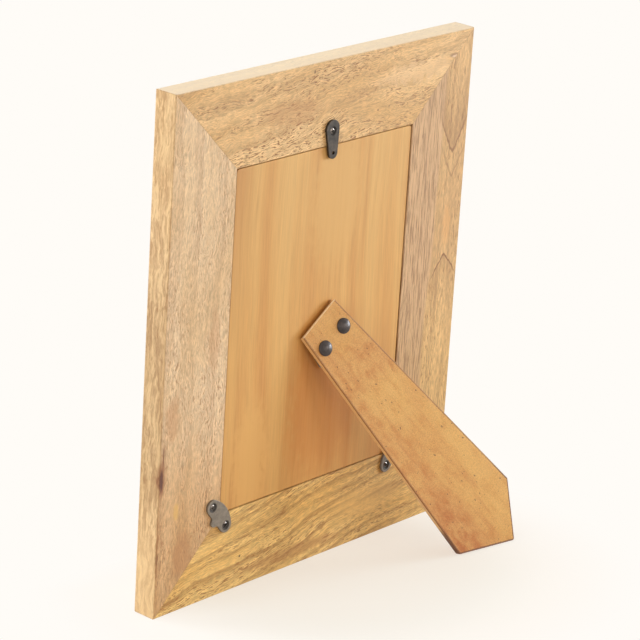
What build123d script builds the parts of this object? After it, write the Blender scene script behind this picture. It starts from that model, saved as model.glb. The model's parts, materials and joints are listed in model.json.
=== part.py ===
# Easel back photo frame for a 5 x 7 inch print, seen in use on its strut in upright format.
# Four mitred wood bars hold a pane of glass, the print and a backing board in a rabbet. Two
# corner plates and a turn button keep the board in. A pointed two-way strut, hinged across the
# board on the slant, stands the frame upright or, on its other foot edge, lying on its side.
#
# Millimetres. The frame is modelled upright with its back on Y = 0, its front towards -Y and
# its underside on Z = 0. At the end the whole is leaned back on its strut and moved, so that
# the origin is the middle of the standing object's box, on the table.
import os
from math import cos, radians, sin, tan

from build123d import *

# Print, and the panes that are as large as the print and its margin
photo_width = 127.0
photo_height = 178.0
pane_margin = 1.0
glass_thickness = 2.0
print_thickness = 0.3
board_thickness = 3.0
board_corner_radius = 1.5

# Wood bars
bar_width = 50.5
frame_thickness = 14.0
rabbet_width = 6.0
rabbet_gap = 0.5
board_recess = 0.5
front_easing = 1.2
back_easing = 0.4
board_side_easing = 0.3
sight_bevel = 2.5

# Brads across the mitres, sunk and filled over
brad_breadth = 1.3
brad_depth = 1.0
brad_length = 34.0
brad_sink = 2.0
brad_inset = 12.0
brad_spacing = 13.0
brads_per_corner = 2

# Countersunk screws of the turn button and the corner plates
screw_head_radius = 2.0
screw_shank_radius = 1.1
screw_length = 11.0
slot_length = 2.5
slot_width = 0.5
slot_depth = 0.6

# Turn button on the top rail
button_thickness = 1.2
button_wide_radius = 4.75
button_narrow_radius = 3.1
button_lead = 1.0
button_reach = 11.6
button_setback = 7.7
button_offset = 2.0
button_turn_degrees = 5
button_hole_radius = 0.95
button_clearance = 0.1

# Plates over the two lower corners of the board
plate_thickness = 1.2
plate_lobe_radius = 4.0
plate_screw_spacing = 15.6
plate_side_setback = 1.4
plate_drop = 0.4
plate_turn_degrees = 51
plate_crown = 6.1
plate_nub_radius = 2.4
plate_nub_reach = 6.7
plate_nub_blend = 1.8

# Hinge of the strut
hinge_shift = 4.4
hinge_drop = 7.8
hinge_side_margin = 1.75
leaf_thickness = 0.8
leaf_corner_radius = 2.0
strut_leaf_length = 9.6
board_leaf_length = 18.0
pin_radius = 0.8
pin_clearance = 0.04
knuckle_gap = 0.3
knuckles_total = 3

# Strut, and the ways that the frame leans on it
strut_thickness = 3.0
strut_top_width = 27.4
strut_top_undercut = 1.0
strut_foot_radius = 1.2
strut_top_radius = 0.6
strut_easing = 0.35
stop_clearance = 0.3
strut_flare_degrees = 4.3
hinge_slant_degrees = 35.5
opening_degrees = 20.7
upright_lean_degrees = 4.5
sideways_lean_degrees = 11.1

# Rivets of the two hinge leaves
strut_rivet_gap = 0.8
strut_rivet_inset = 4.0
strut_rivet_head_radius = 4.1
strut_rivet_head_height = 1.9
dome_sweep_degrees = 75
dome_bands = 2
strut_rivet_radius = 1.5
board_rivet_reach = 13.0
board_rivet_inset = 4.0
board_rivet_head_radius = 2.3
board_rivet_head_height = 0.7
board_rivet_radius = 1.25
rivet_set_radius = 2.2
rivet_set_height = 0.7

# Clearance round fixed pins and panes, and the overrun of every cut
fixed_clearance = 0.05
overrun = 5.0

# Sizes that follow
pane_width = photo_width + 2 * pane_margin
pane_height = photo_height + 2 * pane_margin
opening_width = pane_width + 2 * rabbet_gap
opening_height = pane_height + 2 * rabbet_gap
back_width = bar_width - rabbet_width
frame_width = opening_width + 2 * back_width
frame_height = opening_height + 2 * back_width
middle_height = frame_height / 2
board_back = -board_recess
board_front = board_back - board_thickness
print_front = board_front - print_thickness
glass_front = print_front - glass_thickness
knuckle_radius = pin_radius + pin_clearance + leaf_thickness
hinge_width = strut_top_width - 2 * hinge_side_margin
strut_rivet_spacing = hinge_width - 2 * strut_rivet_inset
board_rivet_spacing = hinge_width - 2 * board_rivet_inset

# The set ends of the strut's rivets stand clear of the knuckles
strut_rivet_reach = knuckle_radius + strut_rivet_gap + rivet_set_radius

# The cone of a plate screw's head ends at the plate's underside
screw_head_height = screw_head_radius - screw_shank_radius
screw_sink = plate_thickness - screw_head_height

lean = radians(upright_lean_degrees)
sideways_lean = radians(sideways_lean_degrees)
slant = radians(hinge_slant_degrees)
opening = radians(opening_degrees)
flare = radians(strut_flare_degrees)

# The strut reaches past its pin until its inner top edge stops against the board. Its top end
# is undercut, so its outer face reaches further.
stop_reach = (knuckle_radius * (1 + cos(opening)) - stop_clearance) / sin(opening)
strut_overhang = stop_reach + strut_top_undercut

# Hinge planes: X along the pin, Y down the leaf, Z out of the back. One lies on the board,
# the other is turned with the strut.
hinge_center = Vector(-hinge_shift, board_back + knuckle_radius, middle_height - hinge_drop)
pin_direction = Vector(cos(slant), 0, -sin(slant))
strut_normal = Vector(sin(slant) * sin(opening), cos(opening), cos(slant) * sin(opening))
board_plane = Plane(hinge_center, x_dir=pin_direction, z_dir=Vector(0, 1, 0))
strut_plane = Plane(hinge_center, x_dir=pin_direction, z_dir=strut_normal)

# Upright wall of the back: X across, Y up, Z out of the back
back_plane = Plane((0, 0, 0), x_dir=(-1, 0, 0), z_dir=(0, 1, 0))

# Solids that stand on their place, and solids that hang below it
upright = (Align.CENTER, Align.CENTER, Align.MIN)
hanging = (Align.CENTER, Align.CENTER, Align.MAX)


def on_back(x, z, y=0):
    # Place on the back of the frame, with Z out of it
    return Plane((x, y, z), x_dir=back_plane.x_dir, z_dir=back_plane.z_dir).location


def slab(width, height, near, far, corner=0):
    # Upright slab centred on the frame, between two depths
    outline = RectangleRounded(width, height, corner) if corner else Rectangle(width, height)
    return on_back(0, middle_height, near) * extrude(outline, far - near)


def drilled(solid, places, radius, depth):
    # Straight holes that go down from each place
    for place in places:
        solid -= place * Cylinder(radius, depth, align=hanging)
    return solid


# Wood bars
def moulding():
    # The whole frame as one ring, before it is parted on the mitres
    ring = slab(frame_width, frame_height, -frame_thickness, 0)
    ring -= slab(opening_width, opening_height, glass_front, overrun)
    board_rim = ring.faces().sort_by(Axis.Y)[-1].inner_wires()[0].edges()
    ring = chamfer(board_rim, board_side_easing)
    sight_width = opening_width - 2 * rabbet_width
    sight_height = opening_height - 2 * rabbet_width
    ring -= slab(sight_width, sight_height, -frame_thickness - overrun, overrun)
    sight_rim = ring.faces().sort_by(Axis.Y)[0].inner_wires()[0].edges()
    return chamfer(sight_rim, sight_bevel)


def mitre_wedge(length, reach):
    # Prism of one bar between its mitres, with its outer side on Y = -reach
    outer = length / 2
    inner = outer - bar_width
    sides = [(-outer, -reach), (outer, -reach), (inner, bar_width - reach), (-inner, bar_width - reach)]
    outline = make_face(Polyline(*sides, close=True))
    return extrude(outline, frame_thickness + 2 * overrun)


def eased_bar(bar, place):
    # Round the front edge and bevel the back edge of the outer side, which faces away from Y
    outward = Axis((0, 0, middle_height), -Plane(place).y_dir)
    outer_edges = bar.edges().group_by(outward)[-1].sort_by(Axis.Y)
    bar = fillet(outer_edges[0], front_easing)
    outer_edges = bar.edges().group_by(outward)[-1].sort_by(Axis.Y)
    return chamfer(outer_edges[-1], back_easing)


def brad_places():
    # Heads of the brads, driven in from the top and the bottom edge beside each corner
    places = []
    for side in (-1, 1):
        for index in range(brads_per_corner):
            x = side * (frame_width / 2 - brad_inset - index * brad_spacing)
            bottom = Pos(x, -frame_thickness / 2, brad_sink)
            top = Pos(x, -frame_thickness / 2, frame_height - brad_sink) * Rot(180, 0, 0)
            places += [bottom, top]
    return places


def brad(clearance=0):
    # Headless brad, rectangular in section, that runs up from its place
    breadth = brad_breadth + 2 * clearance
    depth = brad_depth + 2 * clearance
    return Box(breadth, depth, brad_length, align=upright)


def corner_brads():
    return [place * brad() for place in brad_places()]


def plate_screw_places():
    # Screw heads of the two corner plates, in a list for each plate
    places = []
    for plate in corner_places():
        pair = [plate * Pos(side * plate_screw_spacing / 2, 0, plate_thickness - screw_sink)
                for side in (-1, 1)]
        places.append(pair)
    return places


def button_place():
    # Middle of the turn button's underside
    button_height = middle_height + opening_height / 2 + button_setback
    return on_back(-button_offset, button_height, button_clearance) * Rot(0, 0, button_turn_degrees)


def button_screw_place():
    return button_place() * Pos(0, 0, button_thickness - screw_sink)


def wood_bars():
    ring = moulding()
    pilots = sum(plate_screw_places(), []) + [button_screw_place()]
    ring = drilled(ring, pilots, screw_shank_radius + fixed_clearance, screw_length + fixed_clearance)
    for place in brad_places():
        ring -= place * brad(fixed_clearance)
    bars = {}
    bar_turns = {"bottom_rail": 0, "right_stile": 90, "top_rail": 180, "left_stile": 270}
    for name, turn in bar_turns.items():
        is_stile = turn % 180 == 90
        length = frame_height if is_stile else frame_width
        reach = frame_width / 2 if is_stile else frame_height / 2
        place = on_back(0, middle_height, -frame_thickness - overrun) * Rot(0, 0, turn)
        bars[name] = eased_bar(ring & (place * mitre_wedge(length, reach)), place)
    return bars


# Panes in the rabbet
def backing_board():
    board = slab(pane_width, pane_height, board_front, board_back, board_corner_radius)
    bore_depth = leaf_thickness + board_thickness + overrun
    return drilled(board, board_rivet_places(), board_rivet_radius + fixed_clearance, bore_depth)


# Fasteners
def screw():
    # Countersunk wood screw with its head face on Z = 0, and a cross recess
    outline = Polyline(
        (0, 0),
        (screw_head_radius, 0),
        (screw_shank_radius, -screw_head_height),
        (screw_shank_radius, -screw_length),
        (0, -screw_length),
        close=True,
    )
    body = revolve(Plane.XZ * make_face(outline), Axis.Z)
    for turn in (0, 90):
        slot = Box(slot_length, slot_width, 2 * slot_depth)
        body -= Rot(0, 0, turn) * slot
    return body


def countersink(clearance, depth):
    # Cut for a screw whose head face is on Z = 0; the cone runs on above the head
    outline = Polyline(
        (0, overrun),
        (screw_head_radius + clearance + overrun, overrun),
        (screw_shank_radius + clearance, -screw_head_height),
        (screw_shank_radius + clearance, -depth),
        (0, -depth),
        close=True,
    )
    return revolve(Plane.XZ * make_face(outline), Axis.Z)


# Turn button
def turn_button():
    # Turns on its screw, a little below the middle of its wide end
    wide = Pos(0, button_lead) * Circle(button_wide_radius)
    narrow = Pos(0, -button_reach) * Circle(button_narrow_radius)
    outline = make_hull(wide.edges() + narrow.edges())
    button = extrude(outline, button_thickness)
    button -= Pos(0, 0, button_thickness - screw_sink) * countersink(button_clearance, button_thickness)
    button -= Pos(0, -button_reach) * Cylinder(button_hole_radius, 2 * (button_thickness + overrun))
    return button_place() * button


# Corner plates
def corner_places():
    # Middle of each plate's screw line: X along the line, Y towards the middle of the board
    places = []
    for side in (1, -1):
        x = side * (opening_width / 2 + plate_side_setback)
        z = middle_height - opening_height / 2 - plate_drop
        places.append(on_back(x, z) * Rot(0, 0, -side * plate_turn_degrees))
    return places


def corner_plate():
    # Two lobes under a crown that runs tangent into both, and a nub that blends into the far side
    half = plate_screw_spacing / 2
    crown_rise = plate_crown - plate_lobe_radius
    crown_radius = (half ** 2 + plate_crown ** 2 - plate_lobe_radius ** 2) / (2 * crown_rise)
    crown_center = plate_crown - crown_radius
    lobes = [Pos(side * half, 0) * Circle(plate_lobe_radius) for side in (-1, 1)]
    outline = make_hull(lobes[0].edges() + lobes[1].edges())
    far = crown_radius / (crown_radius - plate_lobe_radius)
    fan = make_face(Polyline(
        (-half, 0), (half, 0),
        (half * far, crown_center * (1 - far)),
        (half * far, plate_crown), (-half * far, plate_crown),
        (-half * far, crown_center * (1 - far)),
        close=True,
    ))
    outline += fan & (Pos(0, crown_center) * Circle(crown_radius))
    nub_center = plate_nub_radius - plate_nub_reach
    outline += Pos(0, nub_center) * Rot(0, 0, 90) * Circle(plate_nub_radius)
    nub_roots = outline.vertices().sort_by_distance((0, -plate_lobe_radius))[:2]
    outline = fillet(nub_roots, plate_nub_blend)
    plate = extrude(outline, plate_thickness)
    for side in (-1, 1):
        sink = Pos(side * half, 0, plate_thickness - screw_sink)
        plate -= sink * countersink(fixed_clearance, plate_thickness + overrun)
    return plate


# Hinge
def knuckle_spans(moving):
    # Along the pin, the spans that carry this leaf's knuckles
    pitch = hinge_width / knuckles_total
    spans = []
    for index in range(knuckles_total):
        if (index % 2 == 1) == moving:
            middle = (index + 1 / 2) * pitch - hinge_width / 2
            spans.append((middle, pitch - knuckle_gap))
    return spans


def hinge_leaf(length, moving):
    # Leaf with rolled knuckles about X, flat below the pin; turned over for the strut
    flat = Pos(0, length / 2) * RectangleRounded(hinge_width, length, leaf_corner_radius)
    root = Pos(0, length / 4) * Rectangle(hinge_width, length / 2)
    leaf = Pos(0, 0, -knuckle_radius) * extrude(flat + root, leaf_thickness)
    clear = knuckle_radius + knuckle_gap
    leaf -= Box(hinge_width + overrun, 2 * clear, 2 * clear)
    for middle, span in knuckle_spans(moving):
        barrel = Pos(middle) * Rot(0, 90, 0) * Cylinder(knuckle_radius, span)
        tongue = Pos(middle, clear / 2, -knuckle_radius + leaf_thickness / 2)
        leaf += barrel + tongue * Box(span, clear, leaf_thickness)
    leaf -= Rot(0, 90, 0) * Cylinder(pin_radius + pin_clearance, hinge_width + overrun)
    return leaf


def hinge_board_leaf():
    leaf = board_plane.location * hinge_leaf(board_leaf_length, False)
    bore_depth = leaf_thickness + overrun
    return drilled(leaf, board_rivet_places(), board_rivet_radius + fixed_clearance, bore_depth)


def hinge_strut_leaf():
    leaf = strut_plane.location * Rot(0, 180, 0) * hinge_leaf(strut_leaf_length, True)
    bore_depth = strut_thickness + overrun
    return drilled(leaf, strut_rivet_places(), strut_rivet_radius + fixed_clearance, bore_depth)


def hinge_pin():
    return board_plane.location * Rot(0, 90, 0) * Cylinder(pin_radius, hinge_width)


# Rivets
def strut_rivet_places():
    # On the strut's outer face
    outer_face = knuckle_radius + strut_thickness
    return [strut_plane.location * Pos(side * strut_rivet_spacing / 2, strut_rivet_reach, outer_face)
            for side in (-1, 1)]


def strut_rivet():
    # Low dome in cone bands under a small flat, shank through strut and leaf, end set below the leaf
    stack = strut_thickness + leaf_thickness
    flank = []
    for band in range(dome_bands + 1):
        angle = radians(dome_sweep_degrees) * band / dome_bands
        rise = strut_rivet_head_height * sin(angle) / sin(radians(dome_sweep_degrees))
        flank.append((strut_rivet_head_radius * cos(angle), rise))
    outline = Polyline(
        *flank,
        (0, strut_rivet_head_height),
        (0, -stack - rivet_set_height),
        (rivet_set_radius, -stack - rivet_set_height),
        (rivet_set_radius, -stack),
        (strut_rivet_radius, -stack),
        (strut_rivet_radius, 0),
        close=True,
    )
    return revolve(Plane.XZ * make_face(outline), Axis.Z)


def board_rivet_places():
    # On the outer face of the leaf that is riveted to the board
    leaf_face = leaf_thickness - knuckle_radius
    return [board_plane.location * Pos(side * board_rivet_spacing / 2, board_rivet_reach, leaf_face)
            for side in (-1, 1)]


def board_rivet():
    # Flat head on the leaf, and a shank that ends flush with the board's inner face
    head = Cylinder(board_rivet_head_radius, board_rivet_head_height, align=upright)
    return head + Cylinder(board_rivet_radius, leaf_thickness + board_thickness, align=hanging)


# Strut
def table_line(normal, offset):
    # Line a * x + b * y = c in the strut's inner face, where a table plane passes through it
    inner_face = hinge_center + strut_normal * knuckle_radius
    return normal.dot(strut_plane.x_dir), normal.dot(strut_plane.y_dir), offset - normal.dot(inner_face)


def crossing(first, second):
    # Point on two lines a * x + b * y = c
    a1, b1, c1 = first
    a2, b2, c2 = second
    determinant = a1 * b2 - a2 * b1
    return (c1 * b2 - c2 * b1) / determinant, (a1 * c2 - a2 * c1) / determinant


def eased_rest(angle):
    # How far inside the bare corner the table touches the bevelled back edge
    return back_easing * sin(angle)


def strut_outline():
    # The foot's two edges lie on the table, one with the frame upright, one with it on its side
    upright_table = table_line(Vector(0, -sin(lean), cos(lean)), eased_rest(lean))
    side_normal = Vector(cos(sideways_lean), -sin(sideways_lean), 0)
    side_offset = eased_rest(sideways_lean) - frame_width / 2 * cos(sideways_lean)
    sideways_table = table_line(side_normal, side_offset)
    half = strut_top_width / 2 + strut_overhang * tan(flare)
    right_side = (-cos(flare), -sin(flare), half * cos(flare))
    left_side = (cos(flare), -sin(flare), half * cos(flare))
    top_edge = (0, 1, -strut_overhang)
    top_corners = [crossing(left_side, top_edge), crossing(right_side, top_edge)]
    foot_corners = [
        crossing(right_side, sideways_table),
        crossing(sideways_table, upright_table),
        crossing(left_side, upright_table),
    ]
    outline = make_face(Polyline(*top_corners, *foot_corners, close=True))
    foot_vertices = outline.vertices().sort_by(Axis.Y)[2:]
    outline = fillet(foot_vertices, strut_foot_radius)
    return fillet(outline.vertices().sort_by(Axis.Y)[:2], strut_top_radius)


def strut_undercut():
    # Wedge off the top end, from the eased rim of the outer face down to the stop edge
    side = make_face(Polyline(
        (-strut_overhang, strut_thickness - strut_easing),
        (-stop_reach, 0),
        (-stop_reach, -overrun),
        (-strut_overhang - overrun, -overrun),
        (-strut_overhang - overrun, strut_thickness - strut_easing),
        close=True,
    ))
    return extrude(Plane.YZ * side, strut_top_width, both=True)


def strut():
    leg = extrude(strut_outline(), strut_thickness)
    leg = chamfer(leg.faces().sort_by(Axis.Z)[-1].edges(), strut_easing)
    leg = strut_plane.location * Pos(0, 0, knuckle_radius) * (leg - strut_undercut())
    bore_depth = strut_thickness + overrun
    return drilled(leg, strut_rivet_places(), strut_rivet_radius + fixed_clearance, bore_depth)


# Assembly
def assembly():
    nodes = wood_bars()
    nodes["corner_brads"] = corner_brads()
    nodes["glass_pane"] = slab(pane_width, pane_height, glass_front, print_front)
    nodes["blank_print"] = slab(pane_width, pane_height, print_front, board_front)
    nodes["backing_board"] = backing_board()
    nodes["turn_button"] = turn_button()
    nodes["turn_button_screw"] = button_screw_place() * screw()
    for name, place, screws in zip(("left", "right"), corner_places(), plate_screw_places()):
        nodes[name + "_corner_plate"] = place * corner_plate()
        nodes[name + "_plate_screws"] = [spot * screw() for spot in screws]
    nodes["hinge_board_leaf"] = hinge_board_leaf()
    nodes["hinge_strut_leaf"] = hinge_strut_leaf()
    nodes["hinge_pin"] = hinge_pin()
    nodes["strut"] = strut()
    nodes["strut_rivets"] = [place * strut_rivet() for place in strut_rivet_places()]
    nodes["board_rivets"] = [place * board_rivet() for place in board_rivet_places()]
    return nodes


def as_compound(shape):
    pieces = shape if isinstance(shape, list) else [shape]
    return Compound([solid for piece in pieces for solid in piece.solids()])


def standing(nodes):
    # Lean everything back on the strut and set it over the origin
    leaning = Pos(0, 0, -eased_rest(lean)) * Rot(-upright_lean_degrees, 0, 0)
    box = Compound([leaning * shape for shape in nodes.values()]).bounding_box()
    middle = box.center()
    return Pos(-middle.X, -middle.Y, 0) * leaning


nodes = {name: as_compound(shape) for name, shape in assembly().items()}
stand = standing(nodes)
os.makedirs("parts", exist_ok=True)
for name, shape in nodes.items():
    export_step(stand * shape, os.path.join("parts", name + ".step"))


def report(label, place):
    # A place and its local X, Y and Z directions on the standing object
    spot = Plane(stand * place)
    print(label, [tuple(round(value, 5) for value in vector)
                  for vector in (spot.origin, spot.x_dir, spot.y_dir, spot.z_dir)])


print("frame", frame_width, frame_height, "strut overhang", round(strut_overhang, 3))
report("hinge pin", board_plane.location)
report("turn button", button_place())
report("front face", on_back(0, back_width / 2, -frame_thickness))
report("underside", Pos(0, -frame_thickness / 2, 0))
report("print", on_back(0, middle_height, print_front))
report("glass bottom", on_back(0, back_width + rabbet_width, glass_front))
report("glass top", on_back(0, frame_height - back_width - rabbet_width, glass_front))
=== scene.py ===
import json
import math

import bmesh
import bpy
from mathutils import Matrix, Vector


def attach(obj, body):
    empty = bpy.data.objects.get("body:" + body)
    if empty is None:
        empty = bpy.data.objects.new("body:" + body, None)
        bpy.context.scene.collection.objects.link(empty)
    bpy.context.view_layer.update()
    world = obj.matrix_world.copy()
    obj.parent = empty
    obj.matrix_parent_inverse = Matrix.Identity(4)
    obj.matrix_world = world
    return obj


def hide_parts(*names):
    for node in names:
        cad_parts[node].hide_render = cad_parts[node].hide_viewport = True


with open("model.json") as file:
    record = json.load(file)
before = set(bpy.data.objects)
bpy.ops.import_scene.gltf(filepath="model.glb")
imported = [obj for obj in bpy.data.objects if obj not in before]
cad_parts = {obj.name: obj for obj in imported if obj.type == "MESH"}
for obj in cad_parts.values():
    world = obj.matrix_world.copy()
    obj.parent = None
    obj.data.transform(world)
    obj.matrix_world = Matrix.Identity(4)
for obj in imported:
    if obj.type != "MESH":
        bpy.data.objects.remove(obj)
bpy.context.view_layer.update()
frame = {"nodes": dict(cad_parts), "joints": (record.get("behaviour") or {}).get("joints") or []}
print("frame loaded:", len(frame["nodes"]), "nodes")

mm = 0.001
nodes = frame["nodes"]
joints = {joint["name"]: joint for joint in frame["joints"]}


# Axes of the leaning frame, taken from the joints and the four bars
barNames = ["left_stile", "right_stile", "top_rail", "bottom_rail"]
outAxis = Vector(joints["turn_button"]["axis"]).normalized()  # out of the back
sideAxis = Vector((1, 0, 0))
upAxis = sideAxis.cross(outAxis)  # up the frame


def spread(names, axis):
    along = [axis.dot(vertex.co) for name in names for vertex in nodes[name].data.vertices]
    return min(along), max(along)


lowUp, highUp = spread(barNames, upAxis)
frontOut, backOut = spread(barNames, outAxis)
halfWidth = spread(barNames, sideAxis)[1]
halfHeight = (highUp - lowUp) / 2
middleUp = (highUp + lowUp) / 2
boardSide = spread(["backing_board"], sideAxis)[1]
boardUp = spread(["backing_board"], upAxis)[1] - middleUp


def onBack(across, up, out=0):
    # Point on the back of the frame: across to the right as seen, up from the middle, out of the back
    return sideAxis * -across + upAxis * (middleUp + up) + outAxis * (backOut + out)


# Axes of the strut: along its pin, down the leg and out of its outer face
pinAxis = Vector(joints["strut_hinge"]["axis"]).normalized()
pinPlace = Vector(joints["strut_hinge"]["pos_m"])
outerFace = max(nodes["strut"].data.polygons, key=lambda face: face.area * face.normal.dot(outAxis))
strutOut = outerFace.normal.copy()
legAxis = strutOut.cross(pinAxis)


def srgb(red, green, blue):
    # Colour as a screen shows it, made linear
    channels = []
    for value in (red, green, blue):
        share = value / 255
        channels.append(share / 12.92 if share <= 0.04045 else ((share + 0.055) / 1.055) ** 2.4)
    return (*channels, 1)


# Short ways to place nodes
def feed(tree, socket, value):
    if isinstance(value, bpy.types.NodeSocket):
        tree.links.new(value, socket)
    else:
        socket.default_value = value


def addNode(tree, kind, inputs, **settings):
    made = tree.nodes.new("ShaderNode" + kind)
    for name, value in settings.items():
        setattr(made, name, value)
    for name, value in inputs.items():
        feed(tree, made.inputs[name], value)
    return made


def calc(tree, operation, *terms):
    made = tree.nodes.new("ShaderNodeMath")
    made.operation = operation
    for socket, term in zip(made.inputs, terms):
        feed(tree, socket, term)
    return made.outputs[0]


def vectorCalc(tree, operation, *terms):
    made = tree.nodes.new("ShaderNodeVectorMath")
    made.operation = operation
    for socket, term in zip(made.inputs, terms):
        feed(tree, socket, term)
    return made.outputs["Value" if operation in ("LENGTH", "DISTANCE", "DOT_PRODUCT") else "Vector"]


def scaled(tree, vector, factor):
    made = addNode(tree, "VectorMath", {"Vector": vector, "Scale": factor}, operation="SCALE")
    return made.outputs["Vector"]


def fade(tree, value, low, high, toLow=0.0, toHigh=1.0):
    # Smooth step from toLow at low to toHigh at high
    made = addNode(tree, "MapRange", {"Value": value, "From Min": low, "From Max": high,
                                      "To Min": toLow, "To Max": toHigh}, interpolation_type="SMOOTHSTEP")
    return made.outputs[0]


def tint(tree, factor, under, over, blend="MIX"):
    made = addNode(tree, "Mix", {}, data_type="RGBA", blend_type=blend)
    for index, value in ((0, factor), (6, under), (7, over)):
        feed(tree, made.inputs[index], value)
    return made.outputs[2]


def noise(tree, vector, stretch, detail=2.0, rough=0.5, output="Fac"):
    # Noise whose lumps measure about one over the stretch, in the vector's units
    stretched = vectorCalc(tree, "MULTIPLY", vector, stretch)
    made = addNode(tree, "TexNoise", {"Vector": stretched, "Scale": 1.0, "Detail": detail,
                                      "Roughness": rough})
    return made.outputs[output]


def wobble(tree, vector, stretch, amount, detail=2.0):
    # Moves a place by noise, by about half the amount each way
    moved = vectorCalc(tree, "SUBTRACT", noise(tree, vector, stretch, detail, 0.5, "Color"), (0.5, 0.5, 0.5))
    return vectorCalc(tree, "ADD", vector, scaled(tree, moved, amount))


def split(tree, vector):
    made = addNode(tree, "SeparateXYZ", {0: vector})
    return made.outputs[0], made.outputs[1], made.outputs[2]


def newGroup(name, inputs, outputs):
    group = bpy.data.node_groups.new(name, "ShaderNodeTree")
    for label, kind in inputs.items():
        group.interface.new_socket(label, in_out="INPUT", socket_type="NodeSocket" + kind)
    for label, kind in outputs.items():
        group.interface.new_socket(label, in_out="OUTPUT", socket_type="NodeSocket" + kind)
    entry = group.nodes.new("NodeGroupInput")
    leave = group.nodes.new("NodeGroupOutput")
    return group, entry.outputs, leave.inputs


def useGroup(tree, group, inputs):
    made = tree.nodes.new("ShaderNodeGroup")
    made.node_tree = group
    for name, value in inputs.items():
        feed(tree, made.inputs[name], value)
    return made.outputs


def newMaterial(name):
    material = bpy.data.materials.new(name)
    material.use_nodes = True
    tree = material.node_tree
    tree.nodes.clear()
    shader = tree.nodes.new("ShaderNodeBsdfPrincipled")
    output = tree.nodes.new("ShaderNodeOutputMaterial")
    tree.links.new(shader.outputs[0], output.inputs[0])
    return material, tree, shader


def localPlace(tree, origin, axes):
    # Millimetres from a point, along three axes at right angles
    turn = Matrix(axes)
    scale = 1 / mm
    place = addNode(tree, "TexCoord", {}).outputs["Object"]
    mapped = addNode(tree, "Mapping", {"Vector": place, "Location": turn @ origin * -scale,
                                       "Rotation": turn.to_euler(), "Scale": (scale, scale, scale)})
    return mapped.outputs[0]


def framePlace(tree):
    # From the middle of the back: X to the left as seen, Y out of the back, Z up the frame
    return localPlace(tree, onBack(0, 0), (sideAxis, outAxis, upAxis))


def strutPlace(tree):
    # From the pin: X along it, Y down the leg, Z out of the outer face
    return localPlace(tree, pinPlace, (pinAxis, legAxis, strutOut))


def bump(tree, shader, height, strength, distance):
    made = addNode(tree, "Bump", {"Height": height, "Strength": strength, "Distance": distance})
    tree.links.new(made.outputs[0], shader.inputs["Normal"])


# Shared effects
poreShares = (0.86, 0.72, 0.56)  # how a pore darkens the dark wood


def makeWoodFigure():
    # Sawn wood with its length on Z: growth lines round a heart, long streaks, fibres and short pores
    group, given, result = newGroup("woodFigure", {
        "Vector": "Vector", "Heart": "Vector", "Ring": "Float", "Wander": "Float", "Curl": "Float",
        "Light": "Color", "Mid": "Color", "Dark": "Color",
        "Line": "Float", "Streak": "Float", "Fleck": "Float", "GlintMottle": "Float",
    }, {"Color": "Color", "Roughness": "Float", "Height": "Float"})
    tree = group
    place = given["Vector"]
    warped = wobble(tree, place, (0.02, 0.02, 0.008), given["Wander"])
    warped = wobble(tree, warped, (0.11, 0.11, 0.06), given["Curl"], 3.0)
    fine = wobble(tree, warped, (0.3, 0.3, 0.12), 0.9)
    flat = vectorCalc(tree, "MULTIPLY", vectorCalc(tree, "SUBTRACT", warped, given["Heart"]), (1, 1, 0.05))
    uneven = noise(tree, place, (0.06, 0.06, 0.012), 3)
    rings = calc(tree, "ADD", calc(tree, "DIVIDE", vectorCalc(tree, "LENGTH", flat), given["Ring"]), uneven)
    phase = calc(tree, "FRACT", rings)
    whole = calc(tree, "FLOOR", rings)
    ringTone = addNode(tree, "TexWhiteNoise", {"W": whole}, noise_dimensions="1D").outputs[0]
    late = calc(tree, "MULTIPLY", fade(tree, phase, 0.3, 0.92), fade(tree, phase, 1.0, 0.92))
    late = calc(tree, "MULTIPLY", late, fade(tree, ringTone, 0.1, 0.9, 0.2, 1.0))
    streak = fade(tree, noise(tree, warped, (0.26, 0.26, 0.008), 4, 0.6), 0.5, 0.72)
    fibre = noise(tree, fine, (2.0, 2.0, 0.2), 3, 0.65)
    pores = fade(tree, noise(tree, fine, (1.8, 1.8, 0.2), 2, 0.6), 0.52, 0.62)
    porePatch = fade(tree, noise(tree, warped, (0.09, 0.09, 0.018), 3, 0.6), 0.36, 0.62, 0.12, 1.0)
    poreMask = calc(tree, "MULTIPLY", pores, calc(tree, "MULTIPLY", porePatch, given["Fleck"]))
    tone = fade(tree, noise(tree, warped, (0.045, 0.045, 0.01), 3), 0.32, 0.66)
    # painted sheen: the glint of curly grain, lighter and darker cross waves painted into the colour
    glint = noise(tree, warped, (0.22, 0.22, 0.3), 3, 0.6)  # short cross waves of curly grain
    glint = calc(tree, "MULTIPLY", calc(tree, "SUBTRACT", glint, 0.5), given["GlintMottle"])
    grey = calc(tree, "ADD", fade(tree, fibre, 0.28, 0.72, 0.74, 1.2), glint)
    color = tint(tree, tone, given["Mid"], given["Light"])
    color = tint(tree, calc(tree, "MULTIPLY", late, given["Line"]), color, given["Dark"])
    color = tint(tree, calc(tree, "MULTIPLY", streak, given["Streak"]), color, given["Dark"])
    poreColor = vectorCalc(tree, "MULTIPLY", given["Dark"], poreShares)
    color = tint(tree, poreMask, scaled(tree, color, grey), poreColor)
    feed(tree, result["Color"], color)
    feed(tree, result["Roughness"], fade(tree, fibre, 0.2, 0.8, 0.52, 0.68))
    feed(tree, result["Height"], calc(tree, "SUBTRACT", calc(tree, "MULTIPLY", fibre, 0.5), poreMask))
    return group


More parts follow.
